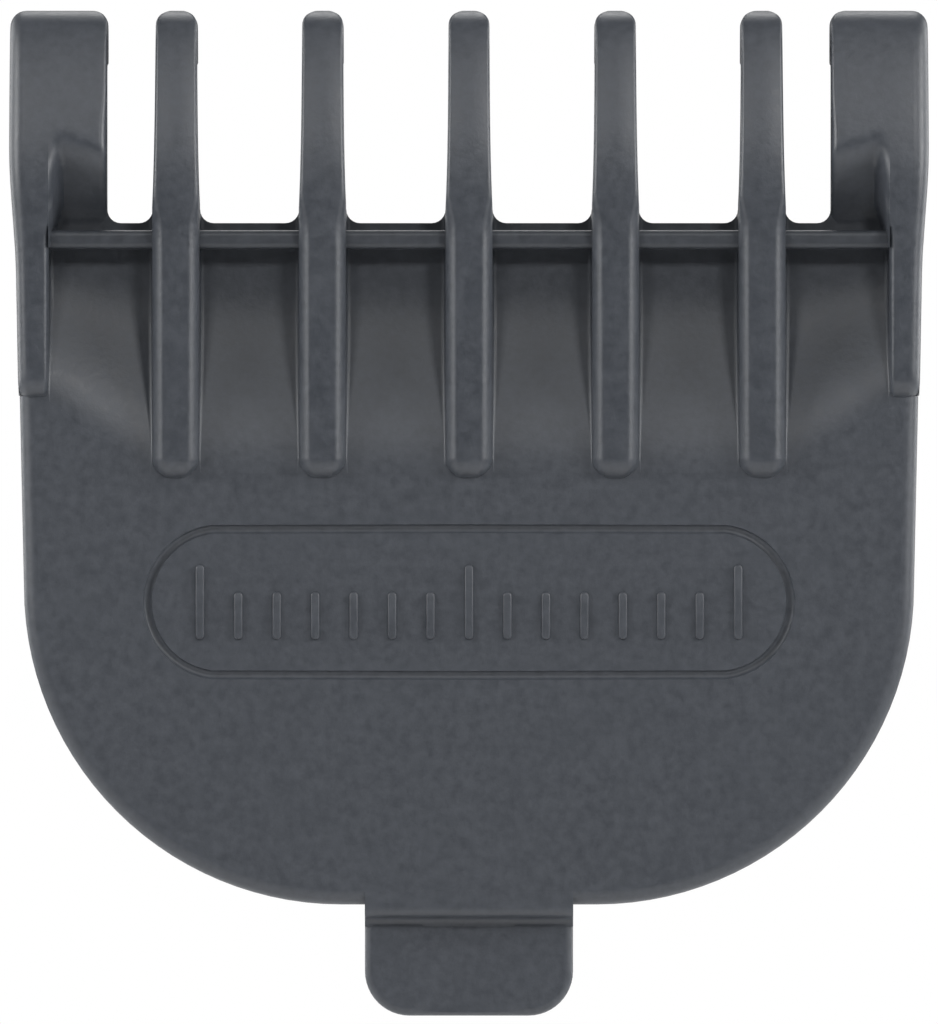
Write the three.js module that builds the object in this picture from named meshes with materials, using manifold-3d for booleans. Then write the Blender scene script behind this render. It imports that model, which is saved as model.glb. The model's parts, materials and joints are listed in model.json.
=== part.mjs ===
// Clip-on guide comb (length guard, 1.5 mm) for the blade of a beard trimmer.
//
// Units are millimetres. X runs across the teeth, Z points the way the teeth point, and Y runs
// from the skin side (-Y) to the blade side (+Y). The origin is the middle of the flat seat
// that the trimmer's blade lies on. The comb is one moulding with a flexing latch at its heel;
// its members are modelled as separate solids that meet face to face.

import * as THREE from 'three';
import { mergeVertices } from 'three/addons/utils/BufferGeometryUtils.js';
import Module from 'manifold-3d';

const wasm = await Module();
wasm.setup();

// Heights along Z
const TIP_Z = 12.1; // tooth tips
const NOSE_Z = 11.3; // where the crest meets the rounded tip
const HOOK_UNDER_Z = 9.9; // underside of the tip hooks, where the blade's own tips stop
const ROOT_Z = 3.5; // bottom of the gaps between the teeth
const BAR_TOP_Z = 3.2;
const CREST_END_Z = 2.8; // above this the crest curves back to the nose
const BAR_BOTTOM_Z = 2.45;
const FLOOR_FLAT_Z = 1.0; // above this the floor between the ribs is flat
const SEAT_BOTTOM_Z = -3.5; // lower edge of the blade seat and of the side walls
const SCOOP_START_Z = -6.6; // where the floor between the ribs leaves the plate's face
const RIB_END_Z = -6.9;
const LABEL_Z = -11.8;
const CORNER_Z = -11.2; // centres of the plate's two bottom corners
const PLATE_BOTTOM_Z = -24.0;
const NECK_BOTTOM_Z = -24.4;
const LATCH_TOP_Z = -24.7;
const TAB_BOTTOM_Z = -28.5;

// Depths along Y, from the skin side to the blade side
const CREST_Y = -3.3; // crest of the ribs
const PLATE_FRONT_Y = -2.8;
const BAR_FRONT_Y = -2.2;
const TAB_FRONT_Y = -1.9;
const NOSE_Y = -1.6; // front of the tooth tips: the cutting length that the comb sets
const PLATE_BACK_Y = -1.5; // the plate behind the label is relieved to clear the blade's screws
const FLOOR_Y = -1.0; // floor between the ribs, at the bridge bar
const TAB_BACK_Y = -0.7;
const SEAT_Y = 0;
const LATCH_CATCH_Y = 2.3; // face of the latch hook that holds the blade's heel
const HOOK_BACK_Y = 2.6;
const LATCH_BACK_Y = 3.1;
const WALL_BACK_Y = 3.4;

// Widths along X
const TOOTH_COUNT = 5;
const TOOTH_PITCH = 5.91;
const RIB_HALF = 0.95;
const TOOTH_TIP_HALF = 0.76;
const TOOTH_TIP_RADIUS = 0.5;
const CORNER_TOOTH_TIP_X = 14.7; // inner edge of the wide corner teeth
const CORNER_TOOTH_ROOT_X = 14.62;
const CORNER_TOOTH_RADIUS = 0.55;
const WALL_INNER_X = 16.95;
const WALL_BOTTOM_X = 18.2; // outer face of the side walls, which lean out a little
const WALL_TOP_X = 18.55;
const WALL_TIP_RADIUS = 0.7;
const PLATE_TOP_X = 18.12;
const CORNER_X = 5.15;
const CORNER_RADIUS = 12.8;
const NECK_HALF = 4.2;
const NECK_FILLET = 0.4;
const TAB_CORNER_RADIUS = 1.8;
const LATCH_WALL_HALF = 3.6;
const LATCH_HOOK_HALF = 3.0;

// Thicknesses and details
const SKIRT_WALL = 1.2;
const SKIRT_END_X = 4.6; // the skirt stops here, to leave the latch room
const LATCH_WALL = 1.2;
const LATCH_HOOK_RISE = 0.6;
const LATCH_HOOK_LEAD = 0.4;
const LABEL_LENGTH = 25.9;
const LABEL_HEIGHT = 5.9;
const LABEL_DEPTH = 0.15;
const SEAM_GAP = 0.02; // between the plate or the bar and the side walls
const CORNER_SCOOP_TOP_Z = 7.2; // where the scoop beside each corner tooth runs out
const CORNER_SCOOP_OUTER_X = 16.5;
const RIB_END_RISE = 0.7; // height over which a rib rises out of the plate's face
const WALL_END_RISE = 0.6;
const WALL_HEEL_RISE = 0.4;
const SCOOP_STEPS = 10;
const CURVE_SEGMENTS = 10;
const MARGIN = 2; // how far a cutting tool runs past what it cuts

// Points of the curved profiles in Y and Z; a pull is a Bezier control point
const CREST_PULL = [CREST_Y, 7.0];
const NOSE_PULL = [-2.3, 10.2];
const NOSE = [NOSE_Y, NOSE_Z];
const TIP_PULL = [-1.1, TIP_Z];
const TIP_FRONT = [-0.2, TIP_Z];
const HOOK_PULL = [1.6, TIP_Z];
const HOOK_TOP = [HOOK_BACK_Y, 11.0];
const WALL_TOP = [1.0, TIP_Z];
const WALL_TOP_PULL = [WALL_BACK_Y, TIP_Z];
const WALL_BACK_TOP = [WALL_BACK_Y, 9.6];
const WALL_BACK_BOTTOM = [WALL_BACK_Y, 0.5];
const CORNER_SCOOP_LOW_PULL = [-1.1, 5.4];
const CORNER_SCOOP_HIGH_PULL = [-1.7, 6.4];

// Solid helpers

function solidOf(geometry) {
  const bare = geometry.clone();
  bare.deleteAttribute('normal');
  bare.deleteAttribute('uv');
  const merged = mergeVertices(bare);
  const mesh = new wasm.Mesh({
    numProp: 3,
    vertProperties: new Float32Array(merged.attributes.position.array),
    triVerts: new Uint32Array(merged.index.array),
  });
  return new wasm.Manifold(mesh);
}

function geometryOf(solid) {
  const mesh = solid.getMesh();
  const geometry = new THREE.BufferGeometry();
  geometry.setAttribute('position', new THREE.BufferAttribute(mesh.vertProperties, 3));
  geometry.setIndex(new THREE.BufferAttribute(mesh.triVerts, 1));
  geometry.computeVertexNormals();
  return geometry;
}

const FRONT_VIEW = new THREE.Matrix4().makeBasis(
  new THREE.Vector3(1, 0, 0),
  new THREE.Vector3(0, 0, 1),
  new THREE.Vector3(0, -1, 0),
);
const SIDE_VIEW = new THREE.Matrix4().makeBasis(
  new THREE.Vector3(0, 1, 0),
  new THREE.Vector3(0, 0, 1),
  new THREE.Vector3(1, 0, 0),
);

function extrude(shape, depth) {
  return new THREE.ExtrudeGeometry(shape, {
    depth,
    bevelEnabled: false,
    curveSegments: CURVE_SEGMENTS,
  });
}

// An outline drawn in X and Z, given its depth along Y.
function frontOutline(shape, yFront, yBack) {
  const geometry = extrude(shape, yBack - yFront);
  geometry.applyMatrix4(FRONT_VIEW);
  geometry.translate(0, yBack, 0);
  return solidOf(geometry);
}

// A profile drawn in Y and Z, given its width along X.
function sideProfile(shape, xLow, xHigh) {
  const geometry = extrude(shape, xHigh - xLow);
  geometry.applyMatrix4(SIDE_VIEW);
  geometry.translate(xLow, 0, 0);
  return solidOf(geometry);
}

function box(xLow, xHigh, yLow, yHigh, zLow, zHigh) {
  const geometry = new THREE.BoxGeometry(xHigh - xLow, yHigh - yLow, zHigh - zLow);
  geometry.translate((xLow + xHigh) / 2, (yLow + yHigh) / 2, (zLow + zHigh) / 2);
  return solidOf(geometry);
}

function mirrored(geometry) {
  const copy = geometry.clone();
  copy.scale(-1, 1, 1);
  const index = copy.index.array;
  for (let i = 0; i < index.length; i += 3) {
    [index[i], index[i + 1]] = [index[i + 1], index[i]];
  }
  copy.computeVertexNormals();
  return copy;
}

// Depth of the floor between the ribs at step i of SCOOP_STEPS, easing out of the plate's face.
function floorPoint(i) {
  const t = i / SCOOP_STEPS;
  const ease = t * t * (3 - 2 * t);
  return new THREE.Vector2(
    THREE.MathUtils.lerp(PLATE_FRONT_Y, FLOOR_Y, ease),
    THREE.MathUtils.lerp(SCOOP_START_Z, FLOOR_FLAT_Z, t),
  );
}

// Profiles in Y and Z

// The skin side of a tooth or a side wall: along the crest and over the nose to the top.
function traceCrest(shape) {
  shape.lineTo(CREST_Y, CREST_END_Z);
  shape.bezierCurveTo(...CREST_PULL, ...NOSE_PULL, ...NOSE);
  shape.quadraticCurveTo(...TIP_PULL, ...TIP_FRONT);
}

// From the top of a tooth over its hook to the blade side.
function traceHook(shape) {
  shape.quadraticCurveTo(...HOOK_PULL, ...HOOK_TOP);
  shape.lineTo(HOOK_BACK_Y, HOOK_UNDER_Z);
  shape.lineTo(SEAT_Y, HOOK_UNDER_Z);
}

function toothProfile() {
  const shape = new THREE.Shape();
  shape.moveTo(PLATE_FRONT_Y, RIB_END_Z);
  shape.quadraticCurveTo(CREST_Y, RIB_END_Z, CREST_Y, RIB_END_Z + RIB_END_RISE);
  traceCrest(shape);
  traceHook(shape);
  shape.lineTo(SEAT_Y, ROOT_Z);
  shape.lineTo(FLOOR_Y, ROOT_Z);
  for (let i = SCOOP_STEPS; i >= 0; i -= 1) {
    const point = floorPoint(i);
    shape.lineTo(point.x, point.y);
  }
  return shape;
}

function cornerToothProfile() {
  const shape = new THREE.Shape();
  shape.moveTo(SEAT_Y, BAR_BOTTOM_Z);
  shape.lineTo(CREST_Y, BAR_BOTTOM_Z);
  traceCrest(shape);
  traceHook(shape);
  return shape;
}

// What is scooped out beside each corner tooth, from the floor up to the crest.
function cornerScoopProfile() {
  const shape = new THREE.Shape();
  shape.moveTo(FLOOR_Y, ROOT_Z - MARGIN);
  shape.lineTo(FLOOR_Y, ROOT_Z);
  shape.bezierCurveTo(
    ...CORNER_SCOOP_LOW_PULL,
    ...CORNER_SCOOP_HIGH_PULL,
    CREST_Y,
    CORNER_SCOOP_TOP_Z,
  );
  shape.lineTo(CREST_Y - MARGIN, CORNER_SCOOP_TOP_Z);
  shape.lineTo(CREST_Y - MARGIN, ROOT_Z - MARGIN);
  return shape;
}

function sideWallProfile() {
  const shape = new THREE.Shape();
  const bottom = SEAT_BOTTOM_Z + SEAM_GAP;
  shape.moveTo(PLATE_FRONT_Y, bottom);
  shape.quadraticCurveTo(CREST_Y, bottom, CREST_Y, bottom + WALL_END_RISE);
  traceCrest(shape);
  shape.lineTo(...WALL_TOP);
  shape.quadraticCurveTo(...WALL_TOP_PULL, ...WALL_BACK_TOP);
  shape.lineTo(...WALL_BACK_BOTTOM);
  shape.quadraticCurveTo(WALL_BACK_Y, bottom + WALL_HEEL_RISE, SEAT_Y, bottom);
  return shape;
}

// The seat, with a foot that sinks into the cover plate below it.
function seatProfile() {
  const shape = new THREE.Shape();
  const footY = (PLATE_FRONT_Y + PLATE_BACK_Y) / 2;
  shape.moveTo(PLATE_FRONT_Y, SCOOP_START_Z);
  shape.lineTo(footY, SCOOP_START_Z);
  shape.lineTo(footY, SEAT_BOTTOM_Z);
  shape.lineTo(SEAT_Y, SEAT_BOTTOM_Z);
  shape.lineTo(SEAT_Y, ROOT_Z);
  shape.lineTo(PLATE_FRONT_Y, ROOT_Z);
  return shape;
}

function scoopProfile() {
  const shape = new THREE.Shape();
  shape.moveTo(PLATE_FRONT_Y - MARGIN, SCOOP_START_Z);
  for (let i = 0; i <= SCOOP_STEPS; i += 1) {
    const point = floorPoint(i);
    shape.lineTo(point.x, point.y);
  }
  shape.lineTo(FLOOR_Y, ROOT_Z + MARGIN);
  shape.lineTo(PLATE_FRONT_Y - MARGIN, ROOT_Z + MARGIN);
  return shape;
}

// Outlines in X and Z

function plateOutline() {
  const shape = new THREE.Shape();
  const cornerSide = CORNER_X + CORNER_RADIUS;
  shape.moveTo(-PLATE_TOP_X, SEAT_BOTTOM_Z);
  shape.lineTo(-cornerSide, CORNER_Z);
  shape.absarc(-CORNER_X, CORNER_Z, CORNER_RADIUS, Math.PI, 1.5 * Math.PI, false);
  shape.lineTo(-NECK_HALF - NECK_FILLET, PLATE_BOTTOM_Z);
  shape.absarc(-NECK_HALF - NECK_FILLET, NECK_BOTTOM_Z, NECK_FILLET, 0.5 * Math.PI, 0, true);
  shape.lineTo(NECK_HALF, NECK_BOTTOM_Z);
  shape.absarc(NECK_HALF + NECK_FILLET, NECK_BOTTOM_Z, NECK_FILLET, Math.PI, 0.5 * Math.PI, true);
  shape.lineTo(CORNER_X, PLATE_BOTTOM_Z);
  shape.absarc(CORNER_X, CORNER_Z, CORNER_RADIUS, 1.5 * Math.PI, 2 * Math.PI, false);
  shape.lineTo(PLATE_TOP_X, SEAT_BOTTOM_Z);
  return shape;
}

function labelOutline() {
  const shape = new THREE.Shape();
  const end = (LABEL_LENGTH - LABEL_HEIGHT) / 2;
  shape.absarc(end, LABEL_Z, LABEL_HEIGHT / 2, -0.5 * Math.PI, 0.5 * Math.PI, false);
  shape.absarc(-end, LABEL_Z, LABEL_HEIGHT / 2, 0.5 * Math.PI, 1.5 * Math.PI, false);
  return shape;
}

function skirtOutline() {
  const shape = new THREE.Shape();
  const innerRadius = CORNER_RADIUS - SKIRT_WALL;
  shape.moveTo(PLATE_TOP_X - SKIRT_WALL, SEAT_BOTTOM_Z);
  shape.lineTo(CORNER_X + innerRadius, CORNER_Z);
  shape.absarc(CORNER_X, CORNER_Z, innerRadius, 0, -0.5 * Math.PI, true);
  shape.lineTo(SKIRT_END_X, PLATE_BOTTOM_Z + SKIRT_WALL);
  shape.lineTo(SKIRT_END_X, PLATE_BOTTOM_Z);
  shape.lineTo(CORNER_X, PLATE_BOTTOM_Z);
  shape.absarc(CORNER_X, CORNER_Z, CORNER_RADIUS, -0.5 * Math.PI, 0, false);
  shape.lineTo(PLATE_TOP_X, SEAT_BOTTOM_Z);
  return shape;
}

function toothOutline() {
  const shape = new THREE.Shape();
  shape.moveTo(RIB_HALF, RIB_END_Z - MARGIN);
  shape.lineTo(RIB_HALF, ROOT_Z);
  shape.lineTo(TOOTH_TIP_HALF, TIP_Z - TOOTH_TIP_RADIUS);
  const inset = TOOTH_TIP_HALF - TOOTH_TIP_RADIUS;
  shape.absarc(inset, TIP_Z - TOOTH_TIP_RADIUS, TOOTH_TIP_RADIUS, 0, 0.5 * Math.PI, false);
  shape.absarc(-inset, TIP_Z - TOOTH_TIP_RADIUS, TOOTH_TIP_RADIUS, 0.5 * Math.PI, Math.PI, false);
  shape.lineTo(-RIB_HALF, ROOT_Z);
  shape.lineTo(-RIB_HALF, RIB_END_Z - MARGIN);
  return shape;
}

function cornerToothOutline() {
  const shape = new THREE.Shape();
  const arcX = CORNER_TOOTH_TIP_X + CORNER_TOOTH_RADIUS;
  const arcZ = TIP_Z - CORNER_TOOTH_RADIUS;
  shape.moveTo(WALL_INNER_X, ROOT_Z);
  shape.lineTo(WALL_INNER_X, TIP_Z);
  shape.lineTo(arcX, TIP_Z);
  shape.absarc(arcX, arcZ, CORNER_TOOTH_RADIUS, 0.5 * Math.PI, Math.PI, false);
  shape.lineTo(CORNER_TOOTH_ROOT_X, ROOT_Z);
  return shape;
}

function sideWallOutline() {
  const shape = new THREE.Shape();
  const arcX = WALL_TOP_X - WALL_TIP_RADIUS;
  const arcZ = TIP_Z - WALL_TIP_RADIUS;
  shape.moveTo(WALL_INNER_X, SEAT_BOTTOM_Z);
  shape.lineTo(WALL_BOTTOM_X, SEAT_BOTTOM_Z);
  shape.lineTo(WALL_TOP_X, arcZ);
  shape.absarc(arcX, arcZ, WALL_TIP_RADIUS, 0, 0.5 * Math.PI, false);
  shape.lineTo(WALL_INNER_X, TIP_Z);
  return shape;
}

function tabOutline() {
  const shape = new THREE.Shape();
  const arcX = NECK_HALF - TAB_CORNER_RADIUS;
  const arcZ = TAB_BOTTOM_Z + TAB_CORNER_RADIUS;
  shape.moveTo(NECK_HALF, LATCH_TOP_Z);
  shape.lineTo(-NECK_HALF, LATCH_TOP_Z);
  shape.absarc(-arcX, arcZ, TAB_CORNER_RADIUS, Math.PI, 1.5 * Math.PI, false);
  shape.absarc(arcX, arcZ, TAB_CORNER_RADIUS, 1.5 * Math.PI, 2 * Math.PI, false);
  return shape;
}

// The pieces

// D-shaped cover plate with the label recess, and above it the thick blade seat between the side
// walls, with the floor between the ribs scooped out of both.
function facePlate() {
  const cover = frontOutline(plateOutline(), PLATE_FRONT_Y, PLATE_BACK_Y);
  const half = WALL_INNER_X - SEAM_GAP;
  const seat = sideProfile(seatProfile(), -half, half);
  const scoop = sideProfile(scoopProfile(), -WALL_INNER_X, WALL_INNER_X);
  const label = frontOutline(labelOutline(), PLATE_FRONT_Y - MARGIN, PLATE_FRONT_Y + LABEL_DEPTH);
  return cover.add(seat).subtract(scoop).subtract(label);
}

function bridgeBar() {
  const half = WALL_INNER_X - SEAM_GAP;
  return box(-half, half, BAR_FRONT_Y, FLOOR_Y, BAR_BOTTOM_Z, BAR_TOP_Z);
}

// One tooth with its rib, notched where the bridge bar runs through it.
function tooth() {
  const profile = sideProfile(toothProfile(), -RIB_HALF, RIB_HALF);
  const outline = frontOutline(toothOutline(), CREST_Y - MARGIN, HOOK_BACK_Y + MARGIN);
  return profile.intersect(outline).subtract(bridgeBar());
}

function cornerTooth() {
  const profile = sideProfile(cornerToothProfile(), CORNER_TOOTH_ROOT_X, WALL_INNER_X);
  const outline = frontOutline(cornerToothOutline(), CREST_Y - MARGIN, HOOK_BACK_Y + MARGIN);
  const scoopInner = CORNER_TOOTH_ROOT_X - MARGIN;
  const scoop = sideProfile(cornerScoopProfile(), scoopInner, CORNER_SCOOP_OUTER_X);
  return profile.intersect(outline).subtract(scoop);
}

function sideWall() {
  const profile = sideProfile(sideWallProfile(), WALL_INNER_X, WALL_TOP_X);
  const outline = frontOutline(sideWallOutline(), CREST_Y - MARGIN, WALL_BACK_Y + MARGIN);
  return profile.intersect(outline);
}

function skirt() {
  return frontOutline(skirtOutline(), PLATE_BACK_Y, SEAT_Y);
}

function thumbTab() {
  return frontOutline(tabOutline(), TAB_FRONT_Y, TAB_BACK_Y);
}

function latchWall() {
  const bottom = LATCH_TOP_Z - LATCH_WALL;
  return box(-LATCH_WALL_HALF, LATCH_WALL_HALF, TAB_BACK_Y, LATCH_BACK_Y, bottom, LATCH_TOP_Z);
}

function latchHook() {
  const top = LATCH_TOP_Z + LATCH_HOOK_RISE;
  const shape = new THREE.Shape();
  shape.moveTo(LATCH_CATCH_Y, LATCH_TOP_Z);
  shape.lineTo(LATCH_BACK_Y, LATCH_TOP_Z);
  shape.lineTo(LATCH_BACK_Y, top - LATCH_HOOK_LEAD);
  shape.lineTo(LATCH_BACK_Y - LATCH_HOOK_LEAD, top);
  shape.lineTo(LATCH_CATCH_Y, top);
  return sideProfile(shape, -LATCH_HOOK_HALF, LATCH_HOOK_HALF);
}

// Assembly

const comb = new THREE.Group();

function mouldedPlastic() {
  return new THREE.MeshStandardMaterial({ color: 0x4c5057, roughness: 0.62, metalness: 0 });
}

function addPiece(name, geometry, x = 0) {
  const mesh = new THREE.Mesh(geometry, mouldedPlastic());
  mesh.name = name;
  mesh.position.x = x;
  comb.add(mesh);
}

function addPair(name, geometry) {
  addPiece(`${name}_right`, geometry);
  addPiece(`${name}_left`, mirrored(geometry));
}

addPiece('face_plate', geometryOf(facePlate()));
addPiece('bridge_bar', geometryOf(bridgeBar()));
const toothGeometry = geometryOf(tooth());
for (let i = 0; i < TOOTH_COUNT; i += 1) {
  addPiece(`tooth_${i + 1}`, toothGeometry, (i - (TOOTH_COUNT - 1) / 2) * TOOTH_PITCH);
}
addPair('corner_tooth', geometryOf(cornerTooth()));
addPair('side_wall', geometryOf(sideWall()));
addPair('skirt', geometryOf(skirt()));
addPiece('thumb_tab', geometryOf(thumbTab()));
addPiece('latch_wall', geometryOf(latchWall()));
addPiece('latch_hook', geometryOf(latchHook()));

export default comb;
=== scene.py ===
"""Looks of a clip-on guide comb for a beard trimmer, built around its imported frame.

The comb is one moulding in matte slate-grey plastic. Each member of the moulding is modelled as
its own piece: plate, teeth, walls, skirts, bridge bar and latch. X runs across the teeth, Z is the
way the teeth point, and -Y is the skin side, which the camera looks at.
"""

import json
import math

import bmesh
import bpy
from mathutils import Matrix, Vector

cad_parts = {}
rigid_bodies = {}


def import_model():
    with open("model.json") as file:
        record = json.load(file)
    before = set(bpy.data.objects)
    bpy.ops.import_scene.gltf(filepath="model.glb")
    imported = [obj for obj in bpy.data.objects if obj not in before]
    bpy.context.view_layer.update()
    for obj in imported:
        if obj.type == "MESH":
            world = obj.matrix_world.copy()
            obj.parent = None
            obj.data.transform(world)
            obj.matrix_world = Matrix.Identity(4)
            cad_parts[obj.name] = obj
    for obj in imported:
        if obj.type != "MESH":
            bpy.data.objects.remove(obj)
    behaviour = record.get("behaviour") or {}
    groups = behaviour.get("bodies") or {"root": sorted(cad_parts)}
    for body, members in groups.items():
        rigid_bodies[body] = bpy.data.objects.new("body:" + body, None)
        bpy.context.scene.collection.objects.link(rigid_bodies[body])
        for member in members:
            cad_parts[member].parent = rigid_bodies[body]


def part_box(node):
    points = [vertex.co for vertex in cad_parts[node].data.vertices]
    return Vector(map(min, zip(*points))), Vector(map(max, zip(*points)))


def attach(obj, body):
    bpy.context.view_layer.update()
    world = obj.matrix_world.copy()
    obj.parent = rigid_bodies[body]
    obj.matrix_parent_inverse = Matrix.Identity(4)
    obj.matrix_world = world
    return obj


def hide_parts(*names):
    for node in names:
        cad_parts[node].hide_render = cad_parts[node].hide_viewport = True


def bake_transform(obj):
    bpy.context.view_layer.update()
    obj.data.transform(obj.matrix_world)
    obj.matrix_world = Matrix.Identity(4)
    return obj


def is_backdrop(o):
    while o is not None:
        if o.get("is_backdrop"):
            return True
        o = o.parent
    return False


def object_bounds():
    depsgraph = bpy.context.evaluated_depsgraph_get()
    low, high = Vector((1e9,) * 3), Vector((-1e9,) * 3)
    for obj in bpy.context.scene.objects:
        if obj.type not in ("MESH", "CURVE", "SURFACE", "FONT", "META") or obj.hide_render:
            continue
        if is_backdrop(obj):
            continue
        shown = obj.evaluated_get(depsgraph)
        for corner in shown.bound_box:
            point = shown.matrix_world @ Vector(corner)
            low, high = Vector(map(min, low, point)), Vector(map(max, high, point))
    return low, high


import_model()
CAD_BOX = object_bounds()

bl_info = {
    "name": "Guide Comb",
    "version": (1, 0, 0),
    "blender": (4, 5, 0),
    "location": "3D View > Sidebar > Guide Comb",
    "description": "Models a trimmer's guide comb piece by piece",
    "category": "Object",
}

MM = 0.001

PLATE_LOW, PLATE_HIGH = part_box("face_plate")
SKIRT_LOW, SKIRT_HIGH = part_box("skirt_right")
WALL_LOW, WALL_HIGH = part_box("side_wall_right")
CORNER_LOW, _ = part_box("corner_tooth_right")
TOOTH_LOW, TOOTH_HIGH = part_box("tooth_3")
NEXT_TOOTH_LOW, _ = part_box("tooth_4")
BAR_LOW, BAR_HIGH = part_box("bridge_bar")
TAB_LOW, TAB_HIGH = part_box("thumb_tab")
CATCH_LOW, CATCH_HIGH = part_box("latch_wall")
HOOK_LOW, HOOK_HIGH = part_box("latch_hook")
TOOTH_NAMES = ("tooth_1", "tooth_2", "tooth_3", "tooth_4", "tooth_5")

ROOT_Z = PLATE_HIGH.z
TIP_Z = TOOTH_HIGH.z
CREST_Y = TOOTH_LOW.y
PLATE_Y = PLATE_LOW.y
FLOOR_Y = BAR_HIGH.y
RELIEF_Y = SKIRT_LOW.y
SEAT_Y = PLATE_HIGH.y
SHOULDER_Z = SKIRT_HIGH.z
PLATE_FOOT_Z = SKIRT_LOW.z
RIB_HALF = TOOTH_HIGH.x
PITCH = NEXT_TOOTH_LOW.x - TOOTH_LOW.x
TOOTH_COUNT = len(TOOTH_NAMES)
OUTER_RIB_X = PITCH * (TOOTH_COUNT - 1) / 2 + RIB_HALF
WALL_X = WALL_LOW.x

RIB_END_RADIUS = 0.9 * MM
RIB_PROFILE = 0.4
NOSE = (-1.6 * MM, 11.3 * MM)
CREST_STEPS = (2.8, 3.3, 3.5, 3.7, 3.9, 4.1, 4.3, 4.5)
BLADE_FLAT_STEPS = (4.9, 4.7, 4.5)
BLADE_FLAT_END_Z = 4.3 * MM
BLADE_SIDE_Y = -1.0 * MM
UNDER_HOOK_Z = 9.0 * MM
FLUSH = 0.01 * MM
NEAR = 0.01 * MM
FIELD_DEPTH = 0.06 * MM


# Sizes and colours that a user would change


class CombShape(bpy.types.PropertyGroup):
    rim_radius: bpy.props.FloatProperty(
        name="Rim radius",
        description="Rounding of the plate's outer edge on the skin side",
        default=0.62 * MM,
        unit="LENGTH",
    )
    corner_radius: bpy.props.FloatProperty(
        name="Corner radius",
        description="Radius of the plate's two bottom corners, seen from the front",
        default=12.8 * MM,
        unit="LENGTH",
    )
    corner_x: bpy.props.FloatProperty(
        name="Corner centre",
        description="How far each bottom corner's centre is from the middle",
        default=5.15 * MM,
        unit="LENGTH",
    )
    root_fillet: bpy.props.FloatProperty(
        name="Root fillet",
        description="Fillet in the corners of the gaps between the teeth",
        default=0.56 * MM,
        unit="LENGTH",
    )
    rib_radius: bpy.props.FloatProperty(
        name="Rib radius",
        description="Rounding of the long edges of the ribs",
        default=0.58 * MM,
        unit="LENGTH",
    )
    foot_fillet: bpy.props.FloatProperty(
        name="Foot fillet",
        description="Fillet between each rib and the floor of the scoop beside it",
        default=0.2 * MM,
        unit="LENGTH",
    )
    tooth_radius: bpy.props.FloatProperty(
        name="Tooth radius",
        description="Rounding of the edges of the free teeth",
        default=0.15 * MM,
        unit="LENGTH",
    )
    wall_radius: bpy.props.FloatProperty(
        name="Wall radius",
        description="Rounding of the outer edges of the side walls",
        default=0.65 * MM,
        unit="LENGTH",
    )
    tooth_taper: bpy.props.FloatProperty(
        name="Tooth taper",
        description="How much narrower each side of a tooth is at its tip than at its root",
        default=0.13 * MM,
        unit="LENGTH",
    )
    label_length: bpy.props.FloatProperty(
        name="Label length",
        description="Length of the label field on the plate",
        default=25.9 * MM,
        unit="LENGTH",
    )
    label_height: bpy.props.FloatProperty(
        name="Label height",
        description="Height of the label field on the plate",
        default=5.9 * MM,
        unit="LENGTH",
    )
    label_z: bpy.props.FloatProperty(
        name="Label place",
        description="Height of the middle of the label field in the frame",
        default=-11.8 * MM,
        unit="LENGTH",
    )


class CombFinish(bpy.types.PropertyGroup):
    plastic_colour: bpy.props.FloatVectorProperty(
        name="Plastic colour",
        description="Colour of the moulded plastic",
        subtype="COLOR",
        size=3,
        min=0.0,
        max=1.0,
        default=(0.0385, 0.0435, 0.0525),
    )
    plastic_roughness: bpy.props.FloatProperty(
        name="Plastic roughness",
        description="Roughness of the textured surfaces",
        subtype="FACTOR",
        default=0.46,
        min=0.0,
        max=1.0,
    )


# Modelling helpers


def start_clean():
    """Leave edit mode and select nothing."""
    if bpy.context.object and bpy.context.object.mode != "OBJECT":
        bpy.ops.object.mode_set(mode="OBJECT")
    bpy.ops.object.select_all(action="DESELECT")


def make_active(piece):
    start_clean()
    piece.select_set(True)
    bpy.context.view_layer.objects.active = piece


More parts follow.
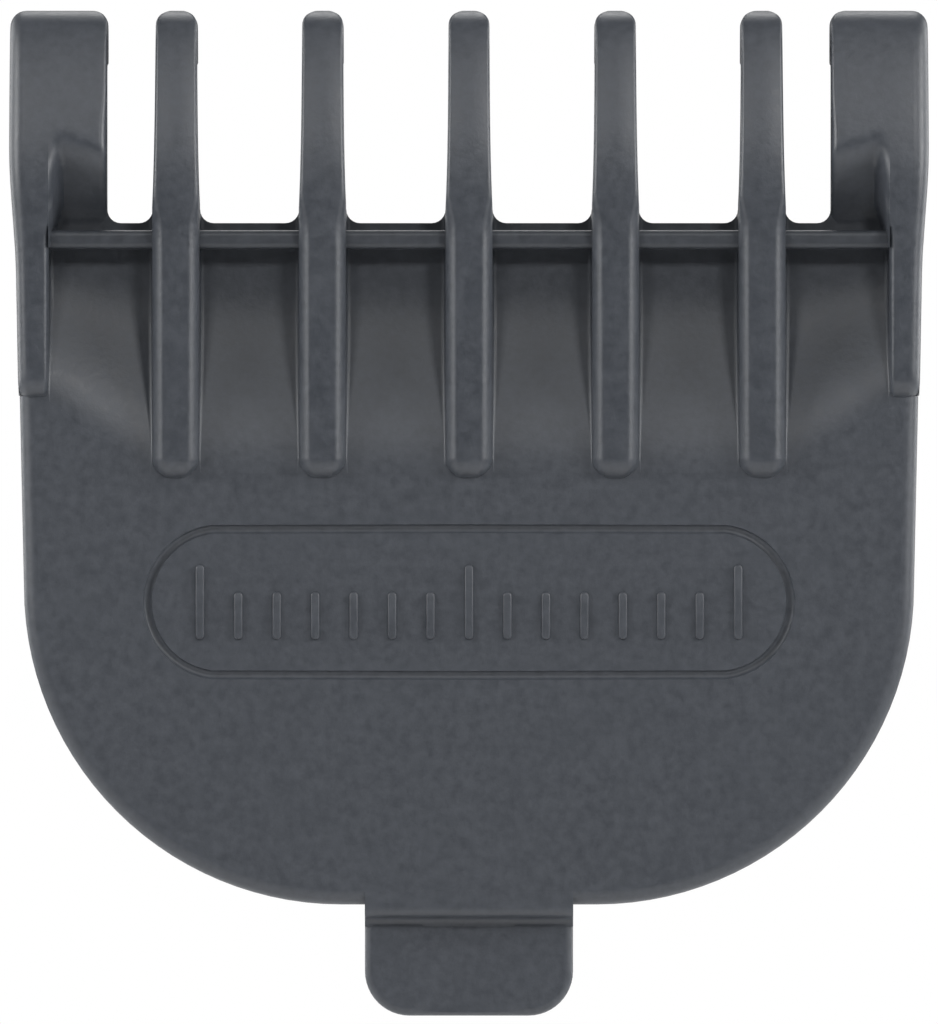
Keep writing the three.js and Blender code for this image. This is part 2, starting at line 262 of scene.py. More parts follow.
class Pen:
    """Draws an outline by extruding and spinning one vertex, in the plane across an axis."""

    def __init__(self, name, across, depth, start):
        start_clean()
        self.across = across
        self.depth = depth
        self.at = start
        bpy.ops.mesh.primitive_plane_add(size=MM, location=(0, 0, 0))
        self.piece = bpy.context.object
        self.piece.name = name
        bpy.ops.object.mode_set(mode="EDIT")
        bpy.ops.mesh.select_mode(type="VERT")
        bpy.ops.mesh.select_all(action="SELECT")
        bpy.ops.mesh.merge(type="CENTER")
        bpy.ops.transform.translate(value=self.place(start))

    def place(self, point):
        if self.across == "Y":
            return Vector((point[0], self.depth, point[1]))
        return Vector((self.depth, point[0], point[1]))

    def line(self, *points):
        for point in points:
            step = self.place(point) - self.place(self.at)
            bpy.ops.mesh.extrude_region_move(TRANSFORM_OT_translate={"value": step})
            self.at = point

    def arc(self, centre, degrees, steps=8):
        """Positive degrees turn the way that leads from the first axis to the second."""
        axis = (0, 1, 0) if self.across == "Y" else (-1, 0, 0)
        bpy.ops.mesh.spin(
            steps=steps,
            angle=math.radians(degrees),
            center=self.place(centre),
            axis=axis,
        )
        arm = Vector(self.at) - Vector(centre)
        arm.rotate(Matrix.Rotation(math.radians(degrees), 2))
        self.at = tuple(Vector(centre) + arm)

    def curve(self, *controls, steps=8):
        """A quadratic or cubic curve from where the pen is."""
        chain = [Vector(self.at)] + [Vector(c) for c in controls]
        for i in range(1, steps + 1):
            t = i / steps
            level = chain
            while len(level) > 1:
                level = [a.lerp(b, t) for a, b in zip(level, level[1:])]
            self.line(tuple(level[0]))

    def solid(self, thickness):
        """Close the outline, fill it and give it its thickness."""
        bpy.ops.mesh.select_all(action="SELECT")
        bpy.ops.mesh.remove_doubles(threshold=0.001 * MM)
        bpy.ops.mesh.select_all(action="SELECT")
        bpy.ops.mesh.edge_face_add()
        step = (0, thickness, 0) if self.across == "Y" else (thickness, 0, 0)
        bpy.ops.mesh.extrude_region_move(TRANSFORM_OT_translate={"value": step})
        bpy.ops.mesh.select_all(action="SELECT")
        bpy.ops.mesh.normals_make_consistent(inside=False)
        bpy.ops.object.mode_set(mode="OBJECT")
        return self.piece


def select_edges(piece, wanted):
    """In edit mode, select the edges whose two ends pass the test."""
    make_active(piece)
    bpy.ops.object.mode_set(mode="EDIT")
    bpy.ops.mesh.select_mode(type="EDGE")
    bpy.ops.mesh.select_all(action="DESELECT")
    mesh = bmesh.from_edit_mesh(piece.data)
    found = [e for e in mesh.edges if wanted(e.verts[0].co, e.verts[1].co)]
    for edge in found:
        edge.select_set(True)
    bmesh.update_edit_mesh(piece.data)
    if not found:
        raise RuntimeError(f"{piece.name}: no edge passes the test")


def select_points(piece, wanted):
    make_active(piece)
    bpy.ops.object.mode_set(mode="EDIT")
    bpy.ops.mesh.select_mode(type="VERT")
    bpy.ops.mesh.select_all(action="DESELECT")
    mesh = bmesh.from_edit_mesh(piece.data)
    found = [v for v in mesh.verts if wanted(v.co)]
    for vert in found:
        vert.select_set(True)
    bmesh.update_edit_mesh(piece.data)
    return len(found)


def longest_side(piece):
    sides = []
    for axis in range(3):
        places = [vert.co[axis] for vert in piece.data.vertices]
        sides.append(max(places) - min(places))
    return max(sides)


def round_edges(piece, wanted, radius, segments=5):
    select_edges(piece, wanted)
    bpy.ops.mesh.bevel(
        offset=radius,
        offset_type="OFFSET",
        segments=segments,
        affect="EDGES",
        clamp_overlap=False,
    )
    bpy.ops.object.mode_set(mode="OBJECT")


def round_by_share(piece, share, radius, segments=5, profile=0.5):
    """Bevel edges by a radius that changes along them: share(a, b) gives its part, from 0 to 1."""
    mesh = bmesh.new()
    mesh.from_mesh(piece.data)
    layer = mesh.edges.layers.float.new("bevel_weight_edge")
    for edge in mesh.edges:
        edge[layer] = share(edge.verts[0].co, edge.verts[1].co)
    mesh.to_mesh(piece.data)
    mesh.free()
    make_active(piece)
    bpy.ops.object.modifier_add(type="BEVEL")
    bevel = piece.modifiers[-1]
    bevel.limit_method = "WEIGHT"
    bevel.width = radius
    bevel.segments = segments
    bevel.profile = profile
    bevel.use_clamp_overlap = False
    reach = longest_side(piece)
    bpy.ops.object.modifier_apply(modifier=bevel.name)
    if longest_side(piece) > reach + NEAR:
        raise RuntimeError(f"{piece.name}: the rounding threw a point out")


def slice_at(piece, places, normal):
    """Cut new rows of edges across a piece, with planes at these places along the normal."""
    make_active(piece)
    bpy.ops.object.mode_set(mode="EDIT")
    bpy.ops.mesh.select_mode(type="FACE")
    for place in places:
        bpy.ops.mesh.select_all(action="SELECT")
        bpy.ops.mesh.bisect(plane_co=Vector(normal) * place, plane_no=normal)
    bpy.ops.object.mode_set(mode="OBJECT")


def reshape(piece, moved):
    """Give every point its new place, for the drafts and curved tapers of a moulding."""
    for vert in piece.data.vertices:
        vert.co = moved(vert.co.copy())
    piece.data.update()


def combine(piece, tool, how):
    """Join or cut with another closed solid, which is used up."""
    make_active(piece)
    bpy.ops.object.modifier_add(type="BOOLEAN")
    boolean = piece.modifiers[-1]
    boolean.operation = how
    boolean.solver = "EXACT"
    boolean.object = tool
    bpy.ops.object.modifier_apply(modifier=boolean.name)
    bpy.data.objects.remove(tool)


def block(name, low, high):
    """A closed box between two corners, as a start."""
    start_clean()
    low, high = Vector(low), Vector(high)
    bpy.ops.mesh.primitive_cube_add(size=1, location=(low + high) / 2)
    piece = bpy.context.object
    piece.name = name
    piece.scale = high - low
    bpy.ops.object.transform_apply(location=True, rotation=True, scale=True)
    return piece


def copy_of(piece, name, shift=(0, 0, 0), mirror=False):
    """A copy with its own mesh, moved along or mirrored across the middle plane."""
    make_active(piece)
    bpy.ops.object.duplicate(linked=False)
    copy = bpy.context.object
    copy.name = name
    copy.data.name = name
    if mirror:
        bpy.ops.object.mode_set(mode="EDIT")
        bpy.ops.mesh.select_all(action="SELECT")
        bpy.ops.transform.resize(value=(-1, 1, 1), center_override=(0, 0, 0))
        bpy.ops.mesh.normals_make_consistent(inside=False)
        bpy.ops.object.mode_set(mode="OBJECT")
    copy.location = shift
    bpy.ops.object.transform_apply(location=True, rotation=True, scale=True)
    return copy


def finish_surface(piece, smooth_degrees=40):
    """Clean the mesh, shade it and give it its plastic."""
    make_active(piece)
    bpy.ops.object.mode_set(mode="EDIT")
    bpy.ops.mesh.select_mode(type="VERT")
    bpy.ops.mesh.select_all(action="SELECT")
    bpy.ops.mesh.remove_doubles(threshold=0.0005 * MM)
    bpy.ops.mesh.select_all(action="SELECT")
    bpy.ops.mesh.normals_make_consistent(inside=False)
    bpy.ops.object.mode_set(mode="OBJECT")
    bpy.ops.object.shade_smooth_by_angle(angle=math.radians(smooth_degrees))
    bpy.ops.object.modifier_add(type="WEIGHTED_NORMAL")
    weighted = piece.modifiers[-1]
    weighted.keep_sharp = True
    bpy.ops.object.modifier_apply(modifier=weighted.name)
    piece.data.materials.clear()
    piece.data.materials.append(moulded_plastic())


def finish_piece(piece, node, body):
    """Finish a piece and put it on its body in place of its CAD node."""
    finish_surface(piece)
    piece.name = piece.data.name = f"{node}_moulding"
    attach(piece, body)
    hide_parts(node)


# Materials


def new_group(name, inputs, outputs):
    group = bpy.data.node_groups.new(name, "ShaderNodeTree")
    for label, kind, default in inputs:
        socket = group.interface.new_socket(label, in_out="INPUT", socket_type=kind)
        if default is not None:
            socket.default_value = default
    for label, kind in outputs:
        group.interface.new_socket(label, in_out="OUTPUT", socket_type=kind)
    entry = group.nodes.new("NodeGroupInput")
    leave = group.nodes.new("NodeGroupOutput")
    return group, entry, leave


def mould_grain_group():
    """Spark-eroded mould texture: fine pits on a slow, faint mottle."""
    name = "Mould grain"
    if name in bpy.data.node_groups:
        return bpy.data.node_groups[name]
    group, entry, leave = new_group(
        name,
        [("Vector", "NodeSocketVector", None), ("Pits per mm", "NodeSocketFloat", 6.0)],
        [("Height", "NodeSocketFloat"), ("Mottle", "NodeSocketFloat")],
    )
    nodes, links = group.nodes, group.links
    per_metre = nodes.new("ShaderNodeMath")
    per_metre.operation = "MULTIPLY"
    per_metre.inputs[1].default_value = 1.0 / MM
    links.new(entry.outputs["Pits per mm"], per_metre.inputs[0])
    pits = nodes.new("ShaderNodeTexNoise")
    pits.inputs["Detail"].default_value = 3.0
    pits.inputs["Roughness"].default_value = 0.6
    links.new(entry.outputs["Vector"], pits.inputs["Vector"])
    links.new(per_metre.outputs[0], pits.inputs["Scale"])
    mottle = nodes.new("ShaderNodeTexNoise")
    mottle.inputs["Scale"].default_value = 2.6 / MM
    mottle.inputs["Detail"].default_value = 3.0
    mottle.inputs["Roughness"].default_value = 0.65
    links.new(entry.outputs["Vector"], mottle.inputs["Vector"])
    links.new(pits.outputs["Fac"], leave.inputs["Height"])
    links.new(mottle.outputs["Fac"], leave.inputs["Mottle"])
    return group


def skin_polish_group():
    """Mask of the surfaces that slide on the skin, which wear smoother: the crests."""
    name = "Skin polish"
    if name in bpy.data.node_groups:
        return bpy.data.node_groups[name]
    group, entry, leave = new_group(
        name,
        [("Vector", "NodeSocketVector", None)],
        [("Mask", "NodeSocketFloat")],
    )
    nodes, links = group.nodes, group.links
    split = nodes.new("ShaderNodeSeparateXYZ")
    links.new(entry.outputs["Vector"], split.inputs[0])
    height = nodes.new("ShaderNodeMapRange")
    height.inputs["From Min"].default_value = PLATE_Y
    height.inputs["From Max"].default_value = CREST_Y
    links.new(split.outputs["Y"], height.inputs["Value"])
    patches = nodes.new("ShaderNodeTexNoise")
    patches.inputs["Scale"].default_value = 0.5 / MM
    links.new(entry.outputs["Vector"], patches.inputs["Vector"])
    mask = nodes.new("ShaderNodeMath")
    mask.operation = "MULTIPLY"
    links.new(height.outputs["Result"], mask.inputs[0])
    links.new(patches.outputs["Fac"], mask.inputs[1])
    links.new(mask.outputs[0], leave.inputs["Mask"])
    return group


def moulded_plastic():
    """Matte slate-grey plastic with a fine eroded grain."""
    name = "Moulded plastic"
    if name in bpy.data.materials:
        return bpy.data.materials[name]
    finish = bpy.context.scene.comb_finish
    material = bpy.data.materials.new(name)
    material.use_nodes = True
    nodes, links = material.node_tree.nodes, material.node_tree.links
    shader = nodes["Principled BSDF"]
    place = nodes.new("ShaderNodeTexCoord")
    grain = nodes.new("ShaderNodeGroup")
    grain.node_tree = mould_grain_group()
    grain.inputs["Pits per mm"].default_value = 4.0
    links.new(place.outputs["Object"], grain.inputs["Vector"])
    polish = nodes.new("ShaderNodeGroup")
    polish.node_tree = skin_polish_group()
    links.new(place.outputs["Object"], polish.inputs["Vector"])

    tint = nodes.new("ShaderNodeValToRGB")
    tint.color_ramp.elements[0].position = 0.32
    tint.color_ramp.elements[1].position = 0.68
    base = finish.plastic_colour
    tint.color_ramp.elements[0].color = (base[0] * 0.86, base[1] * 0.86, base[2] * 0.86, 1)
    tint.color_ramp.elements[1].color = (base[0] * 1.14, base[1] * 1.13, base[2] * 1.12, 1)
    links.new(grain.outputs["Mottle"], tint.inputs["Fac"])
    links.new(tint.outputs["Color"], shader.inputs["Base Color"])

    rough = nodes.new("ShaderNodeMapRange")
    rough.inputs["From Min"].default_value = 0.3
    rough.inputs["From Max"].default_value = 0.7
    rough.inputs["To Min"].default_value = finish.plastic_roughness - 0.05
    rough.inputs["To Max"].default_value = finish.plastic_roughness + 0.05
    links.new(grain.outputs["Mottle"], rough.inputs["Value"])
    worn = nodes.new("ShaderNodeMath")
    worn.operation = "MULTIPLY_ADD"
    worn.inputs[1].default_value = -0.12
    links.new(polish.outputs["Mask"], worn.inputs[0])
    links.new(rough.outputs["Result"], worn.inputs[2])
    links.new(worn.outputs[0], shader.inputs["Roughness"])

    bump = nodes.new("ShaderNodeBump")
    bump.inputs["Strength"].default_value = 0.5
    bump.inputs["Distance"].default_value = 0.02 * MM
    links.new(grain.outputs["Height"], bump.inputs["Height"])
    links.new(bump.outputs["Normal"], shader.inputs["Normal"])
    return material


# Shapes shared by pieces


def ease(value, low, high):
    """0 below low, 1 above high, and a smooth S between."""
    t = slope(value, low, high)
    return t * t * (3 - 2 * t)


def slope(value, low, high):
    """0 below low, 1 above high, and an even slope between."""
    return min(1.0, max(0.0, (value - low) / (high - low)))


def floor_depth(z, start_z):
    """Depth of the scooped floor, easing out of the plate's face at start_z."""
    flat_z = 1.0 * MM
    return PLATE_Y + (FLOOR_Y - PLATE_Y) * ease(z, start_z, flat_z)


def draw_rib_end(pen):
    """The round end of a rib or wall, from inside the plate out to the crest."""
    y, z = pen.at
    pen.arc((y, z + RIB_END_RADIUS), -90, steps=10)


def draw_crest(pen):
    """The skin side of a tooth or wall, from the top of the rib over the nose to the tip."""
    belly = (CREST_Y, 7.2 * MM)
    brow = (-2.25 * MM, 10.3 * MM)
    tip_pull_y = -1.1 * MM
    tip_y = -0.2 * MM
    for z in CREST_STEPS:
        pen.line((CREST_Y, z * MM))
    pen.curve(belly, brow, NOSE, steps=48)
    pen.curve((tip_pull_y, TIP_Z), (tip_y, TIP_Z), steps=10)


def draw_hook(pen):
    """The hook behind the tip, round to the side that the blade lies on."""
    hook_y = TOOTH_HIGH.y
    crown_y = 1.3 * MM
    crown_z = 11.9 * MM
    back_z = 10.9 * MM
    under_z = 9.9 * MM
    lip = 0.35 * MM
    throat = 0.4 * MM
    pen.curve((crown_y, TIP_Z), (hook_y, crown_z), (hook_y, back_z), steps=14)
    pen.line((hook_y, under_z + lip))
    pen.arc((hook_y - lip, under_z + lip), -90, steps=5)
    pen.line((SEAT_Y + throat, under_z))
    pen.arc((SEAT_Y + throat, under_z - throat), 90, steps=6)


def draw_blade_flat(pen, inside_y):
    """The flat that the blade lies on, and down inside the plate. Its points fade the rounding."""
    for z in BLADE_FLAT_STEPS:
        pen.line((SEAT_Y, z * MM))
    back_y = SEAT_Y - FLUSH
    pen.line((back_y, BLADE_FLAT_END_Z), (back_y, ROOT_Z), (inside_y, ROOT_Z))


def on_blade_side(y, z):
    return y > BLADE_SIDE_Y and z < UNDER_HOOK_Z


def blade_side_share(z, crisp):
    """The share of rounding behind a tooth, which fades out where it meets the seat."""
    return crisp * slope(z, BLADE_FLAT_STEPS[-1] * MM, 4.8 * MM)


# Operators, one for each piece or group of like pieces


class GUIDECOMB_OT_face_plate(bpy.types.Operator):
    """Model the D-shaped cover plate with its scoops, seat and label field"""

    bl_idname = "guide_comb.face_plate"
    bl_label = "Face plate"

    def execute(self, context):
        shape = context.scene.comb_shape
        plate = self.blank(shape)
        self.round_rim(plate, shape)
        self.relieve_back(plate)
        combine(plate, self.scoops(shape), "DIFFERENCE")
        self.sink_label(plate, shape)
        finish_piece(plate, "face_plate", "comb")
        return {"FINISHED"}

    def blank(self, shape):
        """Outline of the plate, with rounded roots between the teeth, at full thickness."""
        corner_z = PLATE_FOOT_Z + shape.corner_radius
        shoulder = PLATE_HIGH.x
        under_wall = 0.5 * MM
        inner = WALL_X + under_wall
        pen = Pen("face_plate", "Y", PLATE_Y, (-shape.corner_x, PLATE_FOOT_Z))
        pen.line((shape.corner_x, PLATE_FOOT_Z))
        pen.arc((shape.corner_x, corner_z), 90, steps=28)
        pen.line((shoulder, SHOULDER_Z), (inner, SHOULDER_Z), (inner, ROOT_Z))
        flanks = [CORNER_LOW.x]
        for i in range(TOOTH_COUNT):
            middle = ((TOOTH_COUNT - 1) / 2 - i) * PITCH
            flanks += [middle + RIB_HALF, middle - RIB_HALF]
        flanks.append(-CORNER_LOW.x)
        hidden = 0.3 * MM
        r = shape.root_fillet
        for right, left in zip(flanks[0::2], flanks[1::2]):
            pen.line((right + hidden, ROOT_Z), (right + hidden, ROOT_Z + r), (right, ROOT_Z + r))
            pen.arc((right - r, ROOT_Z + r), -90, steps=6)
            pen.line((left + r, ROOT_Z))
            pen.arc((left + r, ROOT_Z + r), -90, steps=6)
            pen.line((left - hidden, ROOT_Z + r), (left - hidden, ROOT_Z))
        pen.line((-inner, ROOT_Z), (-inner, SHOULDER_Z), (-shoulder, SHOULDER_Z))
        pen.line((-shape.corner_x - shape.corner_radius, corner_z))
        pen.arc((-shape.corner_x, corner_z), 90, steps=28)
        return pen.solid(SEAT_Y - PLATE_Y)

    def round_rim(self, plate, shape):
        def on_front_rim(a, b):
            if max(a.y, b.y) > PLATE_Y + NEAR:
                return False
            below = max(a.z, b.z) < SHOULDER_Z + NEAR
            along_shoulder = abs(a.z - SHOULDER_Z) < NEAR and abs(b.z - SHOULDER_Z) < NEAR
            return below and not along_shoulder

        round_edges(plate, on_front_rim, shape.rim_radius, segments=6)

        def on_lip_back(a, b):
            on_seat = min(a.y, b.y) > SEAT_Y - NEAR
            return on_seat and min(a.z, b.z) > ROOT_Z - NEAR

        lip_radius = 0.12 * MM
        round_edges(plate, on_lip_back, lip_radius, segments=2)

    def relieve_back(self, plate):
        reach = 1.0 * MM
        low = (PLATE_LOW.x - reach, RELIEF_Y, PLATE_LOW.z - reach)
        high = (PLATE_HIGH.x + reach, SEAT_Y + reach, SHOULDER_Z)
        tool = block("relief", low, high)

        def inner_edge(a, b):
            on_face = max(a.y, b.y) < RELIEF_Y + NEAR
            return on_face and min(a.z, b.z) > SHOULDER_Z - NEAR

        step_fillet = 0.35 * MM
        round_edges(tool, inner_edge, step_fillet, segments=4)
        combine(plate, tool, "DIFFERENCE")

    def scoops(self, shape):
        """One cutter for each space beside and between the ribs, with a filleted floor."""
        outer_lift = 2.9 * MM
        inner_low = RIB_HALF - FLUSH
        first = self.scoop(shape, inner_low, PITCH - inner_low, 0.0)
        for i in (-2, -1, 1):
            copy_of(first, "scoop", shift=(i * PITCH, 0, 0))
        outer = self.scoop(shape, OUTER_RIB_X - FLUSH, WALL_X + FLUSH, outer_lift)
        copy_of(outer, "scoop", mirror=True)
        start_clean()
        tools = [o for o in bpy.data.objects if o.name.startswith("scoop")]
        for tool in tools:
            tool.select_set(True)
        bpy.context.view_layer.objects.active = first
        bpy.ops.object.join()
        return first

    def scoop(self, shape, x_low, x_high, lift):
        """Cutter whose floor eases out of the plate; lift raises its start on the far side."""
        start_z = -6.6 * MM
        top_z = ROOT_Z + 1.5 * MM
        front_y = PLATE_Y - 1.0 * MM
        past_face = 0.004 * MM
        tool = block("scoop", (x_low, front_y, start_z), (x_high, PLATE_Y, top_z))
        rows = 30

        def along_z(a, b):
            return abs(a.z - b.z) > MM

        select_edges(tool, along_z)
        bpy.ops.mesh.subdivide(number_cuts=rows - 1)
        step = (top_z - start_z) / rows
        for i in range(rows + 1):
            z = start_z + i * step
            depth = floor_depth(z, start_z) - PLATE_Y

            def at_row(co, z=z):
                return abs(co.z - z) < step / 4 and co.y > PLATE_Y - NEAR

            select_points(tool, at_row)
            bpy.ops.transform.translate(value=(0, depth + past_face, 0))
        if lift:
            for i in reversed(range(rows + 1)):
                z = start_z + i * step
                rise = lift * (1 - slope(z, start_z, ROOT_Z))

                def far_side(co, z=z):
                    return abs(co.z - z) < step / 4 and co.x > x_high - NEAR

                select_points(tool, far_side)
                bpy.ops.transform.translate(value=(0, 0, rise))

        def fillet_share(a, b):
            along = abs(a.z - b.z) > step / 4 and abs(a.x - b.x) < NEAR
            if not along or min(a.y, b.y) < PLATE_Y - NEAR / 10:
                return 0.0
            return slope((a.y + b.y) / 2 - PLATE_Y, 0, 2 * shape.foot_fillet)

        bpy.ops.object.mode_set(mode="OBJECT")
        round_by_share(tool, fillet_share, shape.foot_fillet, segments=6)
        return tool

    def sink_label(self, plate, shape):
        """A shallow field inside a rounded groove."""
        end = (shape.label_length - shape.label_height) / 2
        r = shape.label_height / 2
        reach = 1.0 * MM
        pen = Pen("label", "Y", PLATE_Y - reach, (end, shape.label_z - r))
        pen.arc((end, shape.label_z), 180, steps=24)
        pen.line((-end, shape.label_z + r))
        pen.arc((-end, shape.label_z), 180, steps=24)
        combine(plate, pen.solid(reach + FIELD_DEPTH), "DIFFERENCE")
        combine(plate, self.groove(shape, end, r), "DIFFERENCE")

    def groove(self, shape, end, r):
        """A closed round bar along the label's edge, which cuts the groove."""
        half = 0.19 * MM
        start_clean()
        bpy.ops.mesh.primitive_torus_add(
            major_radius=r,
            minor_radius=half,
            major_segments=48,
            minor_segments=12,
            location=(0, PLATE_Y, shape.label_z),
            rotation=(math.pi / 2, 0, 0),
        )
        tool = bpy.context.object
        tool.name = "groove"
        bpy.ops.object.transform_apply(location=True, rotation=True, scale=True)
        for side in (1, -1):
            select_points(tool, lambda co, side=side: co.x * side > 0.001 * MM)
            bpy.ops.transform.translate(value=(side * end, 0, 0))
        bpy.ops.object.mode_set(mode="OBJECT")
        return tool


class GUIDECOMB_OT_size_marks(bpy.types.Operator):
    """Model the raised scale marks in the label field"""

    bl_idname = "guide_comb.size_marks"
    bl_label = "Size marks"

    def execute(self, context):
        shape = context.scene.comb_shape
        count = 15
        pitch = 1.55 * MM
        half_width = 0.17 * MM
        proud = 0.13 * MM
        root = 0.3 * MM
        tall_half = 1.5 * MM
        short_half = 0.95 * MM
        side_radius = 0.16 * MM
        front_radius = 0.07 * MM
        marks = []
        for i in range(count):
            x = (i - (count - 1) / 2) * pitch
            tall = i % 7 == 0
            half_height = tall_half if tall else short_half
            z_foot = shape.label_z - tall_half
            low = (x - half_width, PLATE_Y - proud + FIELD_DEPTH, z_foot)
            high = (x + half_width, PLATE_Y + root, z_foot + 2 * half_height)
            mark = block(f"mark_{i}", low, high)

            def upright(a, b):
                return abs(a.y - b.y) > proud and abs(a.z - b.z) < NEAR

            round_edges(mark, upright, side_radius, segments=4)

            def front(a, b, y=low[1]):
                return max(a.y, b.y) < y + NEAR

            round_edges(mark, front, front_radius, segments=3)
            marks.append(mark)
        start_clean()
        for mark in marks:
            mark.select_set(True)
        bpy.context.view_layer.objects.active = marks[0]
        bpy.ops.object.join()
        marks[0].name = marks[0].data.name = "size_marks"
        finish_surface(marks[0])
        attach(marks[0], "comb")
        return {"FINISHED"}


class GUIDECOMB_OT_teeth(bpy.types.Operator):
    """Model one tooth with its rib and copy it along the comb"""

    bl_idname = "guide_comb.teeth"
    bl_label = "Teeth"

    def execute(self, context):
        shape = context.scene.comb_shape
        middle = self.tooth(shape)
        for i, name in enumerate(TOOTH_NAMES):
            shift = (i - (TOOTH_COUNT - 1) / 2) * PITCH
            if abs(shift) < MM:
                continue
            copy = copy_of(middle, name, shift=(shift, 0, 0))
            finish_piece(copy, name, "comb")
        finish_piece(middle, TOOTH_NAMES[TOOTH_COUNT // 2], "comb")
        return {"FINISHED"}

    def tooth(self, shape):
        inside_y = -0.6 * MM
        skin_y = RELIEF_Y - 0.4 * MM
        bend_high_z = -2.8 * MM
        bend_low_z = -3.9 * MM
        foot_z = TOOTH_LOW.z
        pen = Pen("tooth", "X", -RIB_HALF, (CREST_Y + RIB_END_RADIUS, foot_z))
        draw_rib_end(pen)
        draw_crest(pen)
        draw_hook(pen)
        draw_blade_flat(pen, inside_y)
        pen.line((inside_y, bend_high_z), (skin_y, bend_low_z), (skin_y, foot_z))
        pen.line((CREST_Y + RIB_END_RADIUS, foot_z))
        tooth = pen.solid(2 * RIB_HALF)

        def share(a, b):
            return self.roundness(a, b, shape)

        round_by_share(tooth, share, shape.rib_radius, segments=6, profile=RIB_PROFILE)
        slice_at(tooth, self.rows(), (0, 0, 1))
        reshape(tooth, lambda co: self.tapered(co, shape))
        return tooth

    def roundness(self, a, b, shape):
        """Wide rounding along the rib, fading to a crisp edge on the free tooth."""
        if a.x * b.x < 0:
            return 0.0
        z = (a.z + b.z) / 2
        y = (a.y + b.y) / 2
        crisp = shape.tooth_radius / shape.rib_radius
        inside_plate_y = PLATE_Y + 0.5 * MM
        wide_until_z = 3.3 * MM
        crisp_from_z = 4.4 * MM
        if on_blade_side(y, z):
            return blade_side_share(z, crisp)
        if y > inside_plate_y and z < ROOT_Z:
            return 0.0
        return 1 - (1 - crisp) * slope(z, wide_until_z, crisp_from_z)

    def rows(self):
        """Heights of the rows that let the sides follow the taper and the round ends."""
        foot_gap = 0.1
        shank_start = 4.2
        shank_gap = 0.6
        tip_drops = (0.6, 0.45, 0.3, 0.2, 0.12, 0.06, 0.02)
        foot = [TOOTH_LOW.z + step * foot_gap * MM for step in range(1, 7)]
        shank = [(shank_start + step * shank_gap) * MM for step in range(12)]
        tip = [TIP_Z - drop * MM for drop in tip_drops]
        return foot + shank + tip

    def tapered(self, co, shape):
        """Narrow the tooth above its root, and round its tip and the foot of its rib."""
        taper_z = 4.06 * MM
        reach = 2.6 * MM
        round_r = 0.6 * MM
        half = RIB_HALF
        if co.z > taper_z:
            half -= shape.tooth_taper * (1 - math.exp((taper_z - co.z) / reach))
        past = max(co.z - (TIP_Z - round_r), TOOTH_LOW.z + round_r - co.z, 0.0)
        half -= round_r - math.sqrt(max(0.0, round_r**2 - past**2))
        co.x *= half / RIB_HALF
        return co


class GUIDECOMB_OT_bridge_bar(bpy.types.Operator):
    """Model the thin bar that ties the ribs together"""

    bl_idname = "guide_comb.bridge_bar"
    bl_label = "Bridge bar"

    def execute(self, context):
        sunk = 0.2 * MM
        edge_radius = 0.24 * MM
        high = (BAR_HIGH.x + sunk, BAR_HIGH.y + sunk, BAR_HIGH.z)
        bar = block("bridge_bar", (BAR_LOW.x - sunk, BAR_LOW.y, BAR_LOW.z), high)

        def front_long(a, b):
            return abs(a.x - b.x) > MM and max(a.y, b.y) < BAR_LOW.y + NEAR

        round_edges(bar, front_long, edge_radius, segments=5)
        finish_piece(bar, "bridge_bar", "comb")
        return {"FINISHED"}


